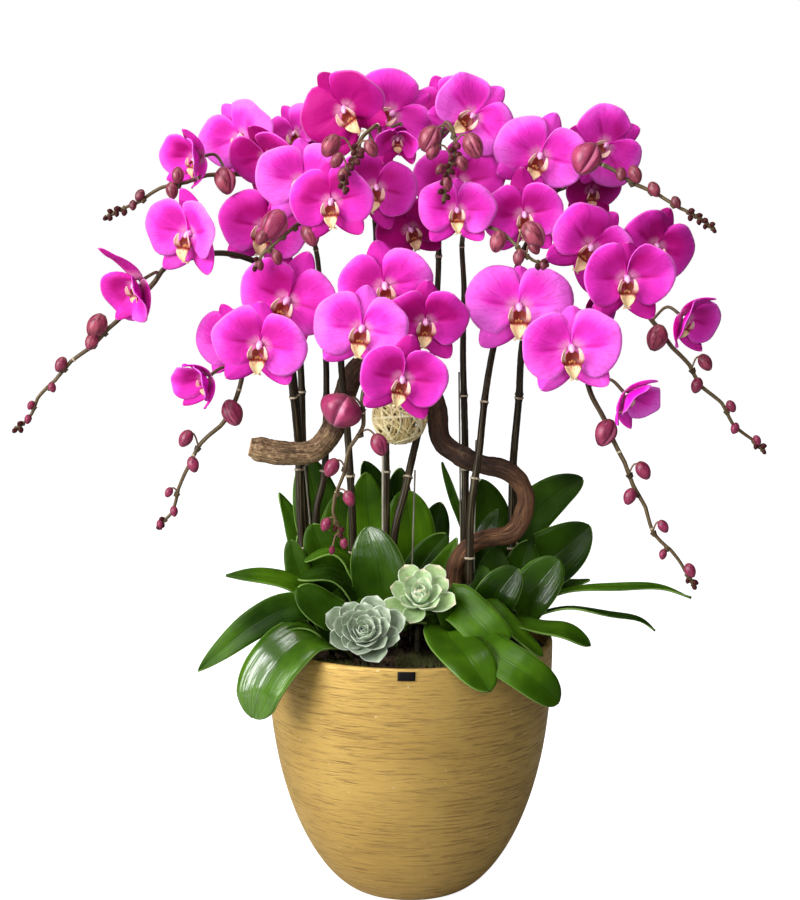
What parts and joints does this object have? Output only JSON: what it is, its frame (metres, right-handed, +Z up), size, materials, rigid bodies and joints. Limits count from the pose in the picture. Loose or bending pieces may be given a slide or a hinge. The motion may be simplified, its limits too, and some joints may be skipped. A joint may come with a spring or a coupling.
{
  "type": "potted moth orchid",
  "caption": "Moth orchid with magenta flowers on arching spikes, in a round gold pot with glossy leaves, succulents, a twisted vine and a rattan ball",
  "frame": {"origin": "centre of the pot's underside, on the surface it stands on", "axes": "+Z up, -Y towards the front, where most flowers look, +X to the right seen from the front"},
  "size_m": [0.7195, 0.3231, 0.8231],
  "materials": {
    "pot": "satin",
    "mix": "matte",
    "plaque": "gloss",
    "vine": "matte",
    "ball": "matte",
    "stake": "matte",
    "succulent_front": "matte",
    "succulent_back": "satin",
    "leaf": "gloss",
    "stem": "satin",
    "bloom": "satin"
  },
  "bodies": {
    "root": {"pot": "pot", "potting_mix": "mix", "rim_plaque": "plaque", "twisted_vine": "vine", "rattan_ball": "ball", "ball_stake": "stake", "succulent_front": "succulent_front", "succulent_back": "succulent_back", "leaves_left_front": "leaf", "leaves_left": "leaf", "leaves_left_back": "leaf", "leaves_centre": "leaf", "leaves_back": "leaf", "leaves_right_back": "leaf", "leaves_right": "leaf", "leaves_right_front": "leaf", "upper_left_spike": "stem", "upper_left_bloom_1": "bloom", "upper_left_bloom_2": "bloom", "upper_left_bloom_3": "bloom", "long_left_spike": "stem", "long_left_bloom_1": "bloom", "long_left_bloom_2": "bloom", "long_left_bloom_3": "bloom", "lower_left_spike": "stem", "lower_left_bloom_1": "bloom", "lower_left_bloom_2": "bloom", "lower_left_bloom_3": "bloom", "centre_left_spike": "stem", "centre_left_bloom_1": "bloom", "centre_left_bloom_2": "bloom", "top_left_spike": "stem", "top_left_bloom_1": "bloom", "top_left_bloom_2": "bloom", "top_left_bloom_3": "bloom", "top_left_bloom_4": "bloom", "centre_hanging_spike": "stem", "centre_hanging_bloom_1": "bloom", "centre_hanging_bloom_2": "bloom", "centre_hanging_bloom_3": "bloom", "centre_hanging_bloom_4": "bloom", "top_right_spike": "stem", "top_right_bloom_1": "bloom", "top_right_bloom_2": "bloom", "centre_right_spike": "stem", "centre_right_bloom_1": "bloom", "centre_right_bloom_2": "bloom", "upper_right_spike": "stem", "upper_right_bloom_1": "bloom", "upper_right_bloom_2": "bloom", "long_right_spike": "stem", "long_right_bloom_1": "bloom", "long_right_bloom_2": "bloom", "long_right_bloom_3": "bloom", "long_right_bloom_4": "bloom", "lower_right_spike": "stem", "lower_right_bloom_1": "bloom", "lower_right_bloom_2": "bloom", "lower_right_bloom_3": "bloom", "lower_right_bloom_4": "bloom"}
  },
  "joints": []
}
